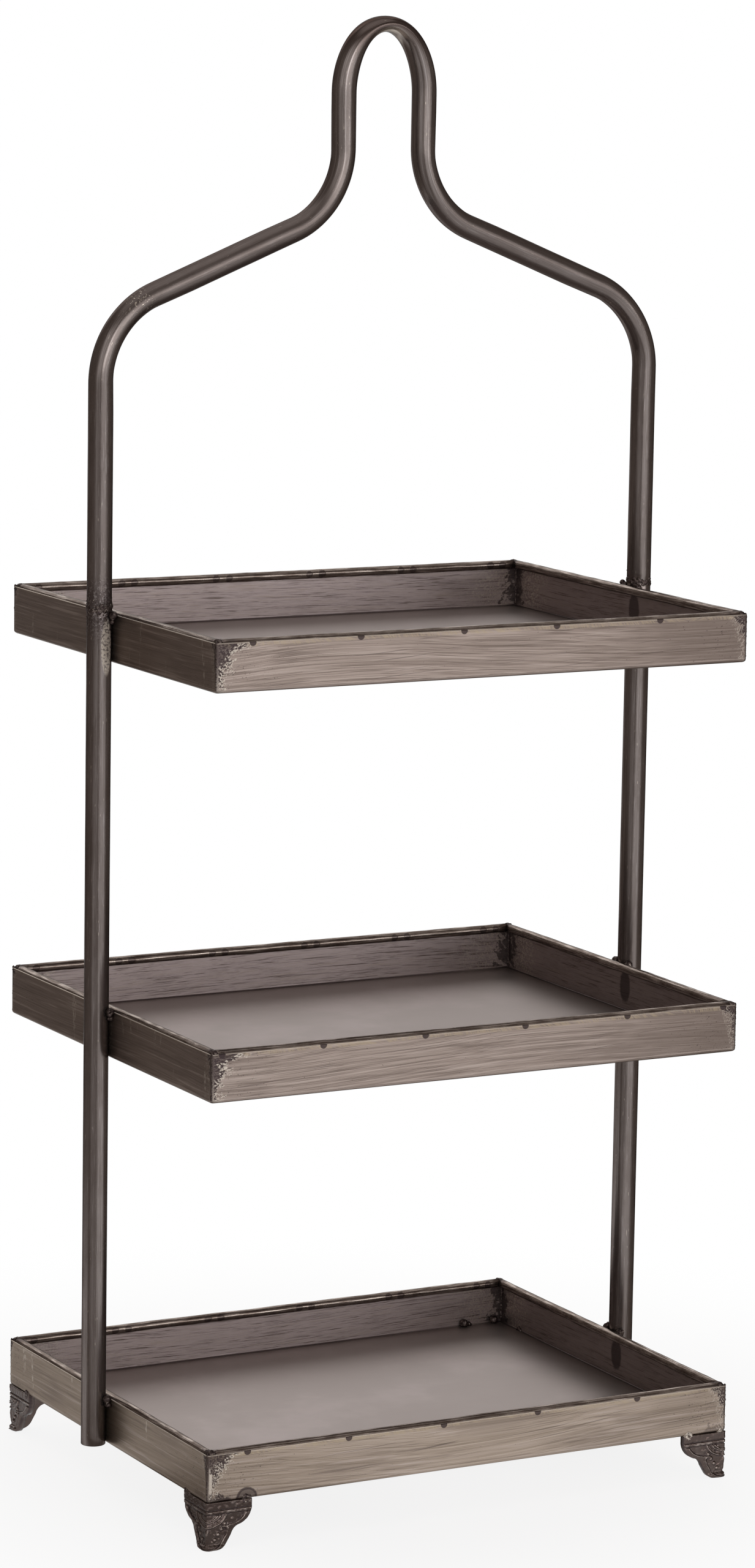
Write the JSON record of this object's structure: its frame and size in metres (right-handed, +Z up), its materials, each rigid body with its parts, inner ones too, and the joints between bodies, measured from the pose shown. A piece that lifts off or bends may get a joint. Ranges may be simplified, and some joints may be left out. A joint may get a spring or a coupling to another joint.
{
  "type": "tiered display stand",
  "caption": "Free-standing tiered tray stand with rectangular sheet-metal trays on tube posts, a bent tube arch with a carrying loop on top and cast corner feet.",
  "frame": {"origin": "on the floor under the middle of the trays", "axes": "+Z up, +X to the right along the long side of the trays, +Y to the back"},
  "size_m": [0.4136, 0.3036, 0.947],
  "materials": {
    "tube_steel": "dark waxed gunmetal, satin",
    "tray_sheet": "brushed by hand, aged grey-brown, clear coated",
    "rim_rod": "aged grey-brown, rubbed bright in places",
    "weld_metal": "rough weld with bright rubbed spots",
    "cast_foot": "dark brown-black cast iron, waxed"
  },
  "bodies": {
    "root": {"handle_arch": "tube_steel", "left_post": "tube_steel", "right_post": "tube_steel", "left_joint_weld": "weld_metal", "right_joint_weld": "weld_metal", "top_pan": "tray_sheet", "top_front_rod": "rim_rod", "top_back_rod": "rim_rod", "top_left_rod": "rim_rod", "top_right_rod": "rim_rod", "top_corner_welds": "weld_metal", "top_post_welds": "weld_metal", "middle_pan": "tray_sheet", "middle_front_rod": "rim_rod", "middle_back_rod": "rim_rod", "middle_left_rod": "rim_rod", "middle_right_rod": "rim_rod", "middle_corner_welds": "weld_metal", "middle_post_welds": "weld_metal", "bottom_pan": "tray_sheet", "bottom_front_rod": "rim_rod", "bottom_back_rod": "rim_rod", "bottom_left_rod": "rim_rod", "bottom_right_rod": "rim_rod", "bottom_corner_welds": "weld_metal", "bottom_post_welds": "weld_metal", "front_left_foot": "cast_foot", "front_right_foot": "cast_foot", "back_left_foot": "cast_foot", "back_right_foot": "cast_foot", "foot_welds": "weld_metal"}
  },
  "joints": []
}
